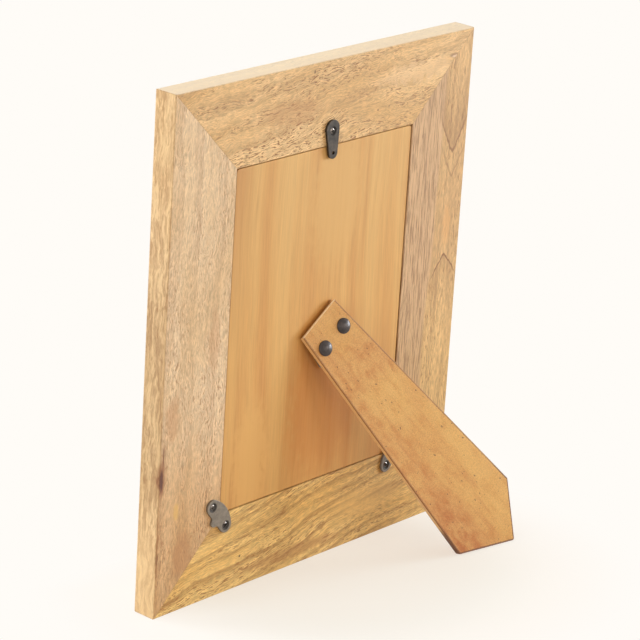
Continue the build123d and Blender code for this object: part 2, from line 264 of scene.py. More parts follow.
def makeFrameSeams():
    # Masks of the mitre joints, of the outer edges, and of painted shade on the rim round the board
    group, given, result = newGroup("frameSeams", {"Vector": "Vector"}, {
        "Mitre": "Float", "Putty": "Float", "Edge": "Float", "RimShade": "Float",
    })
    tree = group
    thickness = (backOut - frontOut) / mm
    across, out, up = split(tree, given["Vector"])
    across = calc(tree, "ABSOLUTE", across)
    up = calc(tree, "ABSOLUTE", up)
    ragged = noise(tree, given["Vector"], (0.5, 0.5, 0.5), 3, 0.6)
    sideGap = calc(tree, "SUBTRACT", halfWidth / mm, across)  # distance to the nearest outer side
    endGap = calc(tree, "SUBTRACT", halfHeight / mm, up)
    apart = calc(tree, "ABSOLUTE", calc(tree, "SUBTRACT", sideGap, endGap))
    mitre = calc(tree, "MULTIPLY", fade(tree, apart, 0.5, 0.1), fade(tree, ragged, 0.35, 0.6))
    feed(tree, result["Mitre"], mitre)
    bits = fade(tree, noise(tree, given["Vector"], (0.4, 0.4, 0.4), 2), 0.6, 0.66)
    feed(tree, result["Putty"], calc(tree, "MULTIPLY", fade(tree, apart, 1.0, 0.3), bits))
    outerGap = calc(tree, "MINIMUM", sideGap, endGap)
    backGap = calc(tree, "MAXIMUM", outerGap, calc(tree, "MULTIPLY", out, -1.0))
    frontGap = calc(tree, "MAXIMUM", outerGap, calc(tree, "ADD", out, thickness))
    gap = calc(tree, "ADD", calc(tree, "MINIMUM", backGap, frontGap), fade(tree, ragged, 0.3, 0.7, -0.5, 0.5))
    feed(tree, result["Edge"], fade(tree, gap, 0.8, 0.2))
    # painted shade: the bars are darkened along the gap round the board, as if in shadow there
    boardGap = calc(tree, "MAXIMUM", calc(tree, "SUBTRACT", across, boardSide / mm),
                    calc(tree, "SUBTRACT", up, boardUp / mm))
    rimGap = calc(tree, "MAXIMUM", boardGap, calc(tree, "MULTIPLY", out, -1.0))
    feed(tree, result["RimShade"], fade(tree, rimGap, 1.2, 0.5))
    return group


def makeSpot():
    # Soft spot in the wood: a knot, a nail hole, a stain
    group, given, result = newGroup("woodSpot", {
        "Vector": "Vector", "Middle": "Vector", "Reach": "Vector", "Ragged": "Float",
    }, {"Mask": "Float"})
    tree = group
    place = wobble(tree, given["Vector"], (0.35, 0.35, 0.18), given["Ragged"])
    away = vectorCalc(tree, "DIVIDE", vectorCalc(tree, "SUBTRACT", place, given["Middle"]), given["Reach"])
    feed(tree, result["Mask"], fade(tree, vectorCalc(tree, "LENGTH", away), 1.0, 0.45))
    return group


def makeArch():
    # Pointed growth line across a bar: a line from its tip, and the shade that it bounds
    group, given, result = newGroup("growthArch", {
        "Vector": "Vector", "Tip": "Vector", "Slope": "Float", "Reach": "Float",
    }, {"Line": "Float", "Shade": "Float"})
    tree = group
    place = wobble(tree, given["Vector"], (0.3, 0.3, 0.2), 2.2)
    across, out, up = split(tree, vectorCalc(tree, "SUBTRACT", place, given["Tip"]))
    bent = calc(tree, "SQRT", calc(tree, "ADD", calc(tree, "MULTIPLY", across, across), 0.7))
    inside = calc(tree, "SUBTRACT", calc(tree, "DIVIDE", up, given["Slope"]), bent)
    near = fade(tree, calc(tree, "DIVIDE", bent, given["Reach"]), 1.0, 0.5)
    thin = fade(tree, calc(tree, "ABSOLUTE", inside), 0.75, 0.25)
    feed(tree, result["Line"], calc(tree, "MULTIPLY", near, thin))
    shade = calc(tree, "MULTIPLY", fade(tree, inside, -0.3, 0.5), fade(tree, inside, 24.0, 0.5))
    feed(tree, result["Shade"], calc(tree, "MULTIPLY", shade, near))
    return group


woodFigure = makeWoodFigure()
frameSeams = makeFrameSeams()
woodSpot = makeSpot()
growthArch = makeArch()
print("shared node groups made")


def mark(middle, reach, ragged, color, depth):
    return {"middle": middle, "reach": reach, "ragged": ragged, "color": color, "depth": depth}


def addMarks(tree, place, color, marks):
    for spot in marks:
        mask = useGroup(tree, woodSpot, {"Vector": place, "Middle": spot["middle"], "Reach": spot["reach"],
                                         "Ragged": spot["ragged"]})["Mask"]
        color = tint(tree, calc(tree, "MULTIPLY", mask, spot["depth"]), color, spot["color"])
    return color


# Wood of the four bars. heart: where the tree's middle runs beside the bar, across and out of it.
# slant: how far the grain runs off the bar's length, in degrees. Lengths in millimetres.
barWood = {
    "left_stile": {
        "heart": (60, -60, 0), "slant": -1.5, "ring": 11.0, "wander": 18.0, "curl": 5.0,
        "line": 0.22, "streak": 0.25, "fleck": 0.65, "glintMottle": 0.38,
        "light": srgb(234, 212, 177), "mid": srgb(219, 192, 150), "dark": srgb(164, 124, 84),
    },
    "right_stile": {
        "heart": (-30, -45, 0), "slant": -1.0, "ring": 5.0, "wander": 8.0, "curl": 1.5,
        "line": 0.28, "streak": 0.4, "fleck": 0.65, "glintMottle": 0.2,
        "light": srgb(228, 194, 138), "mid": srgb(214, 178, 126), "dark": srgb(142, 102, 64),
    },
    "top_rail": {
        "heart": (50, -50, 0), "slant": 5.0, "ring": 7.0, "wander": 20.0, "curl": 6.0,
        "line": 0.3, "streak": 0.35, "fleck": 0.95, "glintMottle": 0.25,
        "light": srgb(235, 203, 149), "mid": srgb(214, 177, 120), "dark": srgb(146, 104, 58),
    },
    "bottom_rail": {
        "heart": (-60, -35, 0), "slant": 9.0, "ring": 4.5, "wander": 24.0, "curl": 2.4,
        "line": 0.52, "streak": 0.6, "fleck": 0.75, "glintMottle": 0.3,
        "light": srgb(246, 214, 139), "mid": srgb(227, 186, 108), "dark": srgb(150, 98, 40),
    },
}

# Marks in the wood: place from the middle of the back (to the left, out, up), half size, raggedness,
# colour and depth
woodMarks = {
    "left_stile": [
        mark((108.0, 0, -60.0), (2.8, 4.0, 13.0), 3.0, srgb(150, 98, 66), 0.75),
        mark((108.2, 0, -61.0), (1.6, 2.6, 8.0), 2.0, srgb(88, 50, 40), 0.9),
        mark((107.3, 0, -48.0), (0.8, 2.0, 7.0), 1.0, srgb(120, 76, 52), 0.7),
        mark((109.2, 0, -98.0), (1.2, 1.6, 24.0), 3.5, srgb(150, 100, 56), 0.6),
        mark((109.0, 0, -102.6), (0.9, 1.2, 4.0), 1.0, srgb(84, 52, 34), 0.4),
        mark((96.9, 0, -80.2), (2.4, 3.0, 6.5), 3.0, srgb(222, 186, 116), 0.8),
        mark((91.8, 0, -105.0), (9.0, 8.0, 16.0), 8.0, srgb(180, 132, 88), 0.55),
        mark((102.0, 0, -30.0), (6.0, 8.0, 16.0), 8.0, srgb(190, 142, 98), 0.5),
        mark((75.0, 0, 5.0), (5.0, 8.0, 22.0), 7.0, srgb(194, 152, 110), 0.45),
    ],
    "top_rail": [
        mark((12.9, 0, 130.6), (0.6, 1.0, 1.3), 0.4, srgb(70, 42, 22), 0.9),
        mark((-36.7, 0, 102.8), (0.7, 1.0, 0.7), 0.4, srgb(110, 70, 36), 0.8),
        mark((-45.1, 0, 103.5), (0.6, 1.0, 0.6), 0.4, srgb(110, 70, 36), 0.8),
        mark((-94.6, 0, 122.6), (4.4, 1.5, 1.5), 1.5, srgb(150, 116, 84), 0.75),
        mark((-95.4, 0, 121.9), (3.0, 1.5, 0.8), 0.8, srgb(232, 206, 176), 0.8),
        mark((28.0, 0, 112.0), (30.0, 8.0, 9.0), 12.0, srgb(178, 132, 84), 0.45),
        mark((-66.0, 0, 118.0), (40.0, 8.0, 7.0), 12.0, srgb(240, 210, 164), 0.4),
    ],
    "right_stile": [
        mark((-98.5, 0, 30.0), (4.0, 6.0, 15.0), 6.0, srgb(222, 172, 110), 0.5),
    ],
    "bottom_rail": [
        mark((48.8, 0, -118.1), (0.8, 1.0, 0.8), 0.3, srgb(72, 44, 20), 0.95),
        mark((10.0, 0, -127.0), (52.0, 8.0, 4.5), 6.0, srgb(172, 118, 66), 0.5),
        mark((-62.0, 0, -112.0), (20.0, 8.0, 4.0), 8.0, srgb(168, 114, 60), 0.3),
        mark((-48.0, 0, -113.0), (34.0, 8.0, 12.0), 10.0, srgb(240, 200, 124), 0.45),
    ],
}

# Pointed growth lines of the right stile, and the straighter, greyer grain of its inner half
arches = [
    {"tip": (-98.8, 0, 68.4), "slope": 1.9, "reach": 13.0, "depth": 0.9, "shade": 0.4},
    {"tip": (-99.5, 0, 55.1), "slope": 1.9, "reach": 11.0, "depth": 0.5, "shade": 0.0},
    {"tip": (-98.3, 0, 14.5), "slope": -1.3, "reach": 12.0, "depth": 1.0, "shade": 0.22},
]
innerGrain = {
    "edge": -87.3, "lean": -0.033, "color": srgb(208, 176, 140), "line": srgb(116, 80, 56),
    "aged": (0.97, 0.95, 0.82, 1),
}


def barPlace(tree, name, slant):
    # From the bar's middle, X across it, Y out of the back, Z along its grain
    isRail = name.endswith("rail")
    axes = (upAxis, outAxis, -sideAxis) if isRail else (sideAxis, outAxis, upAxis)
    low, high = spread([name], axes[0])
    onBar = axes[0] * ((low + high) / 2) + outAxis * backOut
    if not isRail:
        onBar += upAxis * middleUp
    place = localPlace(tree, onBar, axes)
    turn = (0, math.radians(-slant), 0)
    return addNode(tree, "Mapping", {"Vector": place, "Rotation": turn}).outputs[0]


def archedGrain(tree, place, color):
    # Right stile: golden outside with pointed growth lines, grey and straight inside
    across, out, up = split(tree, wobble(tree, place, (0.1, 0.1, 0.03), 5.0))
    edge = calc(tree, "ADD", calc(tree, "MULTIPLY", up, innerGrain["lean"]), innerGrain["edge"])
    inner = fade(tree, calc(tree, "SUBTRACT", across, edge), -1.0, 1.5)
    bent = wobble(tree, place, (0.25, 0.25, 0.08), 1.4)
    lines = fade(tree, noise(tree, bent, (1.3, 1.3, 0.045), 3, 0.6), 0.46, 0.6)
    grey = tint(tree, calc(tree, "MULTIPLY", lines, 0.85), innerGrain["color"], innerGrain["line"])
    color = tint(tree, calc(tree, "MULTIPLY", inner, 0.7), color, grey)
    color = tint(tree, fade(tree, up, 20.0, -90.0), color, innerGrain["aged"], "MULTIPLY")
    for arch in arches:
        figure = useGroup(tree, growthArch, {"Vector": place, "Tip": arch["tip"], "Slope": arch["slope"],
                                             "Reach": arch["reach"]})
        dark = barWood["right_stile"]["dark"]
        color = tint(tree, calc(tree, "MULTIPLY", figure["Shade"], arch["shade"]), color, dark)
        color = tint(tree, calc(tree, "MULTIPLY", figure["Line"], arch["depth"]), color, dark)
    return color


# Outer faces that differ from the back: streaked side of the left stile, paler at its foot with painted light
# thrown up from the floor, and pale top of the top rail, partly cream wood and partly painted light from
# above
outerFaces = {
    "streakLight": srgb(252, 224, 172), "streakDark": srgb(178, 136, 88), "streakShare": 0.6,
    "creamLit": srgb(254, 240, 214), "creamLitShare": 0.74, "edge": 0.5,
    "aged": (0.86, 0.74, 0.6, 1), "agedTop": -15.0, "agedFoot": -95.0,
    # The side face is darker in its middle, and paler at its foot with painted light thrown up from the floor
    "dimMiddle": (0.85, 0.83, 0.8, 1), "dimMiddleTop": (75.0, 10.0), "dimMiddleFoot": (-90.0, -60.0),
    "bounceLitFoot": (-75.0, -110.0), "bounceLitShare": 0.4,
}


def streakedSide(tree, place, color):
    across, out, up = split(tree, place)
    bent = wobble(tree, place, (0.1, 0.1, 0.07), 7.0)
    streak = fade(tree, noise(tree, bent, (0.55, 0.55, 0.04), 4, 0.65), 0.36, 0.64)
    streak = tint(tree, streak, outerFaces["streakDark"], outerFaces["streakLight"])
    streak = tint(tree, outerFaces["streakShare"], color, streak)
    # the side face is darker in its middle
    dimMiddle = calc(tree, "MULTIPLY", fade(tree, up, *outerFaces["dimMiddleTop"]),
                fade(tree, up, *outerFaces["dimMiddleFoot"]))
    streak = tint(tree, dimMiddle, streak, outerFaces["dimMiddle"], "MULTIPLY")
    # painted light: the foot of the side face is made paler, as if lit by light thrown up from the floor
    bounceLit = fade(tree, up, *outerFaces["bounceLitFoot"], 0.0, outerFaces["bounceLitShare"])
    streak = tint(tree, bounceLit, streak, outerFaces["streakLight"])
    low = fade(tree, up, outerFaces["agedTop"], outerFaces["agedFoot"])
    color = tint(tree, low, color, outerFaces["aged"], "MULTIPLY")
    side = fade(tree, across, halfWidth / mm - outerFaces["edge"], halfWidth / mm)
    return tint(tree, side, color, streak)


def creamLitTop(tree, place, color):
    up = split(tree, place)[2]
    # painted light: the top face is made paler, as if lit strongly from above, over its cream wood
    top = fade(tree, up, halfHeight / mm - outerFaces["edge"], halfHeight / mm, 0.0, outerFaces["creamLitShare"])
    return tint(tree, top, color, outerFaces["creamLit"])


# The rim share darkens the gap round the board as painted shade
seamShares = {"Edge": 0.16, "Mitre": 0.5, "Putty": 0.5, "RimShade": 0.35}


def barMaterial(name, look):
    material, tree, shader = newMaterial(name + "Wood")
    place = framePlace(tree)
    wood = useGroup(tree, woodFigure, {
        "Vector": barPlace(tree, name, look["slant"]), "Heart": look["heart"], "Ring": look["ring"],
        "Wander": look["wander"], "Curl": look["curl"], "Light": look["light"], "Mid": look["mid"],
        "Dark": look["dark"], "Line": look["line"], "Streak": look["streak"], "Fleck": look["fleck"],
        "GlintMottle": look["glintMottle"],
    })
    color = wood["Color"]
    if name == "right_stile":
        color = archedGrain(tree, place, color)
    elif name == "left_stile":
        color = streakedSide(tree, place, color)
    elif name == "top_rail":
        color = creamLitTop(tree, place, color)
    color = addMarks(tree, place, color, woodMarks[name])
    seams = useGroup(tree, frameSeams, {"Vector": place})
    for seam, share in seamShares.items():
        over = look["light"] if seam == "Putty" else look["dark"]
        color = tint(tree, calc(tree, "MULTIPLY", seams[seam], share), color, over)
    feed(tree, shader.inputs["Base Color"], color)
    feed(tree, shader.inputs["Roughness"], wood["Roughness"])
    bump(tree, shader, wood["Height"], 0.3, 0.0003)
    return material


# Ways to make pieces
weld = 0.002 * mm
flatLeast = 2.0 * mm * mm
flatAngle = 1  # degrees between faces that count as one
facingRise = 0.9  # cosine past which a face is a top
uprightRise = 0.3  # cosine under which a face is a side
backAxes = (-sideAxis, upAxis, outAxis)
strutAxes = (pinAxis, legAxis, strutOut)


def merged(name):
    # Copy of a CAD node's mesh, with its loose triangles joined and its flat faces whole
    shape = bmesh.new()
    shape.from_mesh(nodes[name].data)
    bmesh.ops.remove_doubles(shape, verts=shape.verts, dist=weld)
    bmesh.ops.dissolve_limit(shape, angle_limit=math.radians(flatAngle), verts=shape.verts, edges=shape.edges)
    return shape


def roundOff(shape, edges, size, segments):
    bmesh.ops.bevel(shape, geom=edges, offset=size, offset_type="OFFSET", segments=segments, profile=0.5,
                    affect="EDGES", clamp_overlap=True, material=-1)


def addPiece(name, shape, material, body, replaced, sharp=35):
    mesh = bpy.data.meshes.new(name)
    shape.to_mesh(mesh)
    shape.free()
    mesh.materials.append(material)
    mesh.shade_smooth()
    mesh.set_sharp_from_angle(angle=math.radians(sharp))
    for face in mesh.polygons:
        face.use_smooth = face.area < flatLeast  # flat faces stay flat beside their rounded rims
    piece = bpy.data.objects.new(name, mesh)
    bpy.context.scene.collection.objects.link(piece)
    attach(piece, body)
    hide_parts(*replaced)


def solidsOf(name):
    # The separate solids of a CAD node, each as its points
    shape = merged(name)
    left = set(shape.verts)
    solids = []
    while left:
        front = [left.pop()]
        points = []
        while front:
            vertex = front.pop()
            points.append(vertex.co.copy())
            for edge in vertex.link_edges:
                other = edge.other_vert(vertex)
                if other in left:
                    left.remove(other)
                    front.append(other)
        solids.append(points)
    shape.free()
    return solids


def topOf(points, axes):
    # Middle of a solid over two axes, at its highest point on the third
    spans = []
    for axis in axes:
        along = [axis.dot(point) for point in points]
        spans.append((min(along), max(along)))
    return axes[0] * sum(spans[0]) / 2 + axes[1] * sum(spans[1]) / 2 + axes[2] * spans[2][1]


def setDown(shape, master, place, axes, turn=0):
    # Adds a copy of a finished mesh, stood on a place with its Z along the third axis
    before = len(shape.verts)
    shape.from_mesh(master)
    shape.verts.ensure_lookup_table()
    stand = Matrix.Translation(place) @ Matrix(axes).transposed().to_4x4()
    turned = stand @ Matrix.Rotation(math.radians(turn), 4, "Z")
    bmesh.ops.transform(shape, matrix=turned, verts=shape.verts[before:])


def pullRing(shape, ring, grow, level):
    # Draws an open rim on to a new width and height
    made = bmesh.ops.extrude_edge_only(shape, edges=ring)["geom"]
    points = [item for item in made if isinstance(item, bmesh.types.BMVert)]
    bmesh.ops.scale(shape, vec=(grow, grow, 1), verts=points)
    bmesh.ops.translate(shape, vec=(0, 0, level - points[0].co.z), verts=points)
    return [item for item in made if isinstance(item, bmesh.types.BMEdge)]


def asMesh(shape, name):
    bmesh.ops.recalc_face_normals(shape, faces=shape.faces)
    mesh = bpy.data.meshes.new(name)
    shape.to_mesh(mesh)
    shape.free()
    return mesh


# Backing board: thin veneer with soft bands up the board
board = {
    "light": srgb(216, 177, 110), "mid": srgb(206, 158, 91), "dark": srgb(178, 120, 60),
    "low": (1.0, 0.92, 0.8, 1), "edgeBand": (18.0, 3.0), "edgeUp": -20.0, "edgeShares": (0.1, 0.5),
    "patches": [
        mark((-10.0, 0, 60.0), (26.0, 9.0, 48.0), 12.0, srgb(216, 177, 110), 0.7),
        mark((44.0, 0, -66.0), (18.0, 9.0, 42.0), 12.0, srgb(222, 182, 114), 0.8),
        # painted shade: a darker orange patch where the strut's shadow falls on the board
        mark((-6.0, 0, -45.0), (34.0, 9.0, 60.0), 12.0, srgb(202, 136, 66), 0.55),
    ],
}


def boardMaterial():
    material, tree, shader = newMaterial("boardVeneer")
    place = wobble(tree, framePlace(tree), (0.01, 0.01, 0.006), 12.0)
    bands = noise(tree, place, (0.06, 0.06, 0.0018), 2, 0.5)
    ribbons = noise(tree, place, (0.28, 0.28, 0.004), 3, 0.6)
    fibre = noise(tree, place, (1.5, 1.5, 0.045), 3, 0.6)
    color = tint(tree, fade(tree, bands, 0.36, 0.64), board["mid"], board["light"])
    color = tint(tree, fade(tree, ribbons, 0.5, 0.8, 0.0, 0.45), color, board["dark"])
    color = scaled(tree, color, fade(tree, fibre, 0.25, 0.75, 0.92, 1.07))
    color = addMarks(tree, place, color, board["patches"])
    across, out, up = split(tree, place)
    band = [boardSide / mm - inset for inset in board["edgeBand"]]
    edge = calc(tree, "MULTIPLY", fade(tree, across, *band),
                fade(tree, up, board["edgeUp"], boardUp / mm, *board["edgeShares"]))
    color = tint(tree, edge, color, board["dark"])
    low = fade(tree, up, boardUp / mm, -boardUp / mm)
    color = tint(tree, low, color, board["low"], "MULTIPLY")
    feed(tree, shader.inputs["Base Color"], color)
    feed(tree, shader.inputs["Roughness"], fade(tree, ribbons, 0.3, 0.7, 0.44, 0.56))
    bump(tree, shader, fibre, 0.12, 0.0002)
    return material


# Strut: stained fibre board, blotched and specked, with a worn dark edge, a dark rim line that is partly
# burnished edge and partly painted shade, pale sides painted as lit, a painted highlight on its top edge and
# painted shade at its foot
# The side colour is painted light on sides that lie in shade, the top colour a painted highlight on the top
# edge, the foot colour painted shade, and the edge colour a dark rim line, partly burnished and partly
# painted shade
strutLook = {
    "light": srgb(221, 176, 97), "mid": srgb(210, 158, 81), "dark": srgb(176, 94, 28),
    "speck": srgb(92, 56, 28), "side": srgb(244, 212, 160), "edge": srgb(140, 90, 46),
    "foot": srgb(104, 62, 32), "top": srgb(246, 222, 180),
    "easing": 0.35, "legEnd": 128.0, "footReach": (-6.0, 4.0),
    "rimLeast": 8.0, "faceRise": 0.98, "endRise": 0.7,
    "wornLeft": (-4.0, 18.0), "wornFoot": (80.0, 140.0), "wornShares": (0.36, 0.7),
    "rivetsDown": 28.0, "rivetsReach": (20.0, 5.0), "rivetsShare": 0.35,
}


def strutRims():
    # The long edges of the outer face: a point on each and the way in from it, as strutPlace counts
    shape = merged("strut")
    turn = Matrix(strutAxes)
    middle = turn @ (outerFace.center - pinPlace) / mm
    rims = []
    for edge in shape.edges:
        rises = sorted(face.normal.dot(strutOut) for face in edge.link_faces)
        start, end = (turn @ (point.co - pinPlace) / mm for point in edge.verts)
        if rises[-1] > strutLook["faceRise"] > rises[0] and (end - start).length > strutLook["rimLeast"]:
            inward = Vector((0, 0, 1)).cross(end - start).normalized()
            rims.append((start, inward if inward.dot(middle - start) > 0 else -inward))
    shape.free()
    return rims


def nearest(tree, place, rims):
    # Distance to the nearest of the rims
    gap = 1000.0
    for start, inward in rims:
        along = vectorCalc(tree, "DOT_PRODUCT", vectorCalc(tree, "SUBTRACT", place, start), inward)
        gap = calc(tree, "MINIMUM", gap, along)
    return gap


def strutMaterial():
    material, tree, shader = newMaterial("strutBoard")
    place = strutPlace(tree)
    across, down, out = split(tree, place)
    face = (strutOut.dot(outerFace.center) - strutOut.dot(pinPlace)) / mm
    blotch = noise(tree, place, (0.06, 0.025, 0.06), 4, 0.6)
    cloud = noise(tree, place, (0.2, 0.11, 0.2), 4, 0.65)
    streak = noise(tree, place, (0.5, 0.03, 0.5), 3, 0.6)
    grit = noise(tree, place, (1.7, 1.1, 1.7), 3, 0.65)
    specks = fade(tree, noise(tree, place, (0.8, 0.45, 0.8), 1, 0.4), 0.735, 0.775)
    color = tint(tree, fade(tree, blotch, 0.34, 0.66), strutLook["mid"], strutLook["light"])
    color = tint(tree, fade(tree, cloud, 0.48, 0.8, 0.0, 0.3), color, strutLook["dark"])
    color = tint(tree, fade(tree, streak, 0.5, 0.8, 0.0, 0.3), color, strutLook["dark"])
    atLeft = fade(tree, across, *strutLook["wornLeft"])
    worn = calc(tree, "MULTIPLY", atLeft, fade(tree, down, *strutLook["wornFoot"], *strutLook["wornShares"]))
    away = calc(tree, "ABSOLUTE", calc(tree, "SUBTRACT", down, strutLook["rivetsDown"]))
    belowRivets = fade(tree, away, *strutLook["rivetsReach"], 0.0, strutLook["rivetsShare"])
    worn = calc(tree, "MAXIMUM", worn, belowRivets)
    worn = calc(tree, "MULTIPLY", worn, fade(tree, cloud, 0.35, 0.65, 0.5, 1.2))
    color = tint(tree, worn, color, strutLook["dark"])
    color = scaled(tree, color, fade(tree, grit, 0.25, 0.75, 0.82, 1.15))
    color = tint(tree, calc(tree, "MULTIPLY", specks, 0.8), color, strutLook["speck"])
    # Round the rim: a dark line, partly burnished edge and partly painted shade; sides painted pale as if
    # lit; a painted highlight on the top edge; and painted shade at the foot
    rims = strutRims()
    sides = [rim for rim in rims if rim[1].y < strutLook["endRise"]]
    ends = [rim for rim in rims if rim not in sides]
    ragged = fade(tree, grit, 0.3, 0.7, -0.15, 0.15)
    # dark line along the long rims: partly burnished edge, partly painted shade on the rounded edge
    line = fade(tree, calc(tree, "ADD", nearest(tree, place, sides), ragged), 0.75, 0.35, 0.0, 0.75)
    line = calc(tree, "MULTIPLY", line, fade(tree, out, face - 0.8, face - 0.4))
    color = tint(tree, line, color, strutLook["edge"])
    # painted light: the side faces, which lie in shade, are given a pale colour so that they look lit
    side = fade(tree, out, face - strutLook["easing"], face - 1.6 * strutLook["easing"])
    side = calc(tree, "MULTIPLY", side, fade(tree, nearest(tree, place, rims), 0.3, 0.0))
    color = tint(tree, calc(tree, "MULTIPLY", side, 0.85), color, strutLook["side"])
    # painted highlight: a bright line along the top end edge, as if light catches it
    top = fade(tree, nearest(tree, place, ends), 0.45, 0.15, 0.0, 0.8)
    color = tint(tree, calc(tree, "MULTIPLY", top, fade(tree, side, 1.0, 0.0)), color, strutLook["top"])
    # painted shade: the sides and rim line at the foot, which face down, are darkened as if in shadow
    atFoot = fade(tree, down, *[strutLook["legEnd"] + reach for reach in strutLook["footReach"]])
    footMask = calc(tree, "MULTIPLY", calc(tree, "MAXIMUM", side, line), atFoot)
    color = tint(tree, footMask, color, strutLook["foot"])
    feed(tree, shader.inputs["Base Color"], color)
    feed(tree, shader.inputs["Roughness"], fade(tree, cloud, 0.3, 0.7, 0.42, 0.56))
    bump(tree, shader, grit, 0.1, 0.0002)
    return material


# Metals. Painted shade round each screw in its countersink: its ring runs from the dark to the plain metal,
# in millimetres from its middle
sinkShadeRing = (2.3, 2.9)
sinkShadeColor = srgb(40, 36, 33)
metals = {
    "plateSteel": {
        "light": srgb(140, 132, 121), "dark": srgb(116, 109, 99), "metallic": 0.45, "rough": (0.42, 0.6),
    },
    "buttonSteel": {
        "light": srgb(78, 70, 62), "dark": srgb(46, 41, 36), "metallic": 0.45, "rough": (0.4, 0.55),
    },
    "screwSteel": {
        "light": srgb(124, 116, 110), "dark": srgb(56, 51, 48), "metallic": 0.95, "rough": (0.22, 0.34),
    },
    "rivetBlack": {
        "light": srgb(71, 63, 61), "dark": srgb(48, 42, 41), "metallic": 0.3, "rough": (0.3, 0.42),
    },
    "hingeSteel": {
        "light": srgb(176, 172, 166), "dark": srgb(126, 120, 112), "metallic": 0.9, "rough": (0.3, 0.45),
    },
}


def metalMaterial(name, look, shadedSinks=()):
    # heads of the screws, round which the metal is darkened as painted shade in the countersink
    material, tree, shader = newMaterial(name)
    place = framePlace(tree)
    cloud = noise(tree, place, (0.4, 0.4, 0.4), 4, 0.6)
    grain = noise(tree, place, (3.0, 3.0, 1.5), 3, 0.6)
    color = tint(tree, fade(tree, cloud, 0.3, 0.7), look["dark"], look["light"])
    color = tint(tree, fade(tree, grain, 0.55, 0.85, 0.0, 0.35), color, look["dark"])
    for shadedSink in shadedSinks:
        local = Matrix((sideAxis, outAxis, upAxis)) @ (shadedSink - onBack(0, 0)) / mm
        away = vectorCalc(tree, "MULTIPLY", vectorCalc(tree, "SUBTRACT", place, local), (1, 0, 1))
        # painted shade: the metal round each screw head is darkened as if in shadow in its countersink
        near = fade(tree, vectorCalc(tree, "LENGTH", away), sinkShadeRing[1], sinkShadeRing[0], 0.0, 0.85)
        color = tint(tree, near, color, sinkShadeColor)
    feed(tree, shader.inputs["Base Color"], color)
    feed(tree, shader.inputs["Roughness"], fade(tree, grain, 0.3, 0.7, *look["rough"]))
    shader.inputs["Metallic"].default_value = look["metallic"]
    bump(tree, shader, cloud, 0.08, 0.0002)
    return material


def glassMaterial():
    material, tree, shader = newMaterial("clearGlass")
    smear = noise(tree, framePlace(tree), (0.03, 0.03, 0.03), 3)
    feed(tree, shader.inputs["Roughness"], fade(tree, smear, 0.4, 0.8, 0.0, 0.03))
    shader.inputs["Base Color"].default_value = glass["color"]
    shader.inputs["Transmission Weight"].default_value = 1.0
    shader.inputs["IOR"].default_value = 1.5
    # Lamps and soft light shine straight through
    path = addNode(tree, "LightPath", {}).outputs
    clear = addNode(tree, "BsdfTransparent", {"Color": glass["color"]})
    through = calc(tree, "MAXIMUM", path["Is Shadow Ray"], path["Is Diffuse Ray"])
    both = addNode(tree, "MixShader", {0: through, 1: shader.outputs[0], 2: clear.outputs[0]})
    tree.links.new(both.outputs[0], tree.nodes["Material Output"].inputs[0])
    return material


card = {"light": srgb(240, 236, 228), "dark": srgb(226, 220, 209)}


def cardMaterial():
    material, tree, shader = newMaterial("blankCard")
    place = framePlace(tree)
    pulp = noise(tree, place, (0.8, 0.8, 0.8), 4, 0.65)
    color = tint(tree, fade(tree, pulp, 0.35, 0.7), card["light"], card["dark"])
    feed(tree, shader.inputs["Base Color"], color)
    feed(tree, shader.inputs["Roughness"], fade(tree, pulp, 0.3, 0.7, 0.75, 0.9))
    bump(tree, shader, pulp, 0.1, 0.0001)
    return material


def dress(name, material):
    nodes[name].data.materials.clear()
    nodes[name].data.materials.append(material)


for name, look in barWood.items():
    dress(name, barMaterial(name, look))
dress("backing_board", boardMaterial())
screwNodes = {"plateSteel": ["left_plate_screws", "right_plate_screws"], "buttonSteel": ["turn_button_screw"]}
metal = {}
for name, look in metals.items():
    shadedSinks = [topOf(points, backAxes) for node in screwNodes.get(name, []) for points in solidsOf(node)]
    metal[name] = metalMaterial(name, look, shadedSinks)
for name in ("hinge_board_leaf", "hinge_strut_leaf", "hinge_pin", "board_rivets", "corner_brads"):
    dress(name, metal["hingeSteel"])
dress("blank_print", cardMaterial())
print("materials made")


# Turn button and corner plates: stamped steel with a rounded upper edge
stamped = {
    "turn_button": {"edge": 0.3 * mm, "material": "buttonSteel", "body": "button"},
    "left_corner_plate": {"edge": 0.35 * mm, "material": "plateSteel", "body": "frame"},
    "right_corner_plate": {"edge": 0.35 * mm, "material": "plateSteel", "body": "frame"},
}


def makeStamped():
    for name, look in stamped.items():
        shape = merged(name)
        rim = []
        for edge in shape.edges:
            rises = sorted(face.normal.dot(outAxis) for face in edge.link_faces)
            if rises[-1] > facingRise and abs(rises[0]) < uprightRise:
                rim.append(edge)
        roundOff(shape, rim, look["edge"], 3)
        addPiece(name + "Stamped", shape, metal[look["material"]], look["body"], [name])


# Glass: its edges ground, and its back a hair off the print that it lies on
glass = {"edge": 0.2 * mm, "gap": 0.05 * mm, "color": srgb(253, 255, 254)}


def makeGlass():
    shape = merged("glass_pane")
    depths = [outAxis.dot(point.co) for point in shape.verts]
    middle = (min(depths) + max(depths)) / 2
    behind = [point for point in shape.verts if outAxis.dot(point.co) > middle]
    bmesh.ops.translate(shape, vec=outAxis * -glass["gap"], verts=behind)
    roundOff(shape, shape.edges[:], glass["edge"], 1)
    addPiece("glassSheet", shape, glassMaterial(), "frame", ["glass_pane"])


# Strut: its edges worn round
strutEdge = {"size": 0.16 * mm, "least": 20}


def makeStrut():
    shape = merged("strut")
    edges = [edge for edge in shape.edges if edge.calc_face_angle(0) > math.radians(strutEdge["least"])]
    roundOff(shape, edges, strutEdge["size"], 2)
    addPiece("strutLeg", shape, strutMaterial(), "strut", ["strut"])


